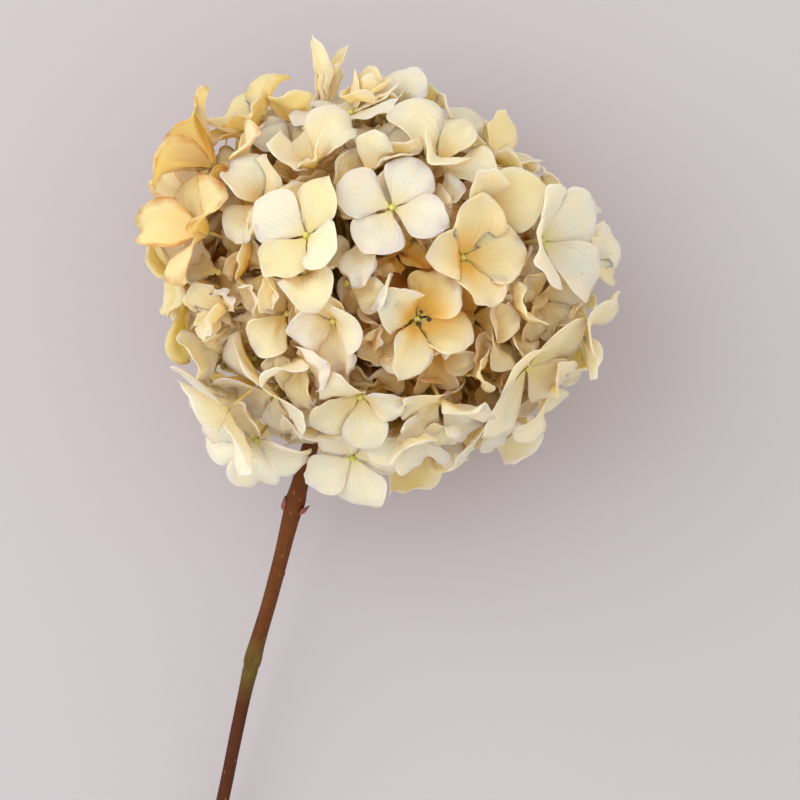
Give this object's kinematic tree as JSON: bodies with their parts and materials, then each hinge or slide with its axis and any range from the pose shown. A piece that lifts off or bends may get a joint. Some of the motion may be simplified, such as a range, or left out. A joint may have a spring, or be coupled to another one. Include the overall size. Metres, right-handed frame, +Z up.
{
  "type": "cut hydrangea",
  "caption": "A cut mophead hydrangea lying down: a ball of papery four-sepal florets on forking twigs, on a slanting woody stem.",
  "frame": {"origin": "on the table under the middle of the whole cutting's box", "axes": "+Z up from the table, +Y from the cut end of the stem towards the flower head, +X to the right when seen from the cut end"},
  "size_m": [0.174, 0.3454, 0.1515],
  "materials": {
    "sepal": "matte",
    "twig": "matte",
    "bark": "satin",
    "bud_scale": "matte"
  },
  "bodies": {
    "root": {"stem": "bark", "bud_scale_left": "bud_scale", "bud_scale_right": "bud_scale", "floret_01": "sepal", "floret_02": "sepal", "floret_03": "sepal", "floret_04": "sepal", "floret_05": "sepal", "floret_06": "sepal", "floret_07": "sepal", "floret_08": "sepal", "floret_09": "sepal", "floret_10": "sepal", "floret_11": "sepal", "floret_12": "sepal", "floret_13": "sepal", "floret_14": "sepal", "floret_15": "sepal", "floret_16": "sepal", "floret_17": "sepal", "floret_18": "sepal", "floret_19": "sepal", "floret_20": "sepal", "floret_21": "sepal", "floret_22": "sepal", "floret_23": "sepal", "floret_24": "sepal", "floret_25": "sepal", "floret_26": "sepal", "floret_27": "sepal", "floret_28": "sepal", "floret_29": "sepal", "floret_30": "sepal", "floret_31": "sepal", "floret_32": "sepal", "floret_33": "sepal", "floret_34": "sepal", "floret_35": "sepal", "floret_36": "sepal", "floret_37": "sepal", "floret_38": "sepal", "floret_39": "sepal", "floret_40": "sepal", "floret_41": "sepal", "floret_42": "sepal", "floret_43": "sepal", "floret_44": "sepal", "floret_45": "sepal", "floret_46": "sepal", "floret_47": "sepal", "floret_48": "sepal", "floret_49": "sepal", "floret_50": "sepal", "ray_1": "twig", "ray_2": "twig", "ray_3": "twig", "ray_4": "twig", "ray_5": "twig", "ray_6": "twig", "ray_7": "twig"}
  },
  "joints": []
}
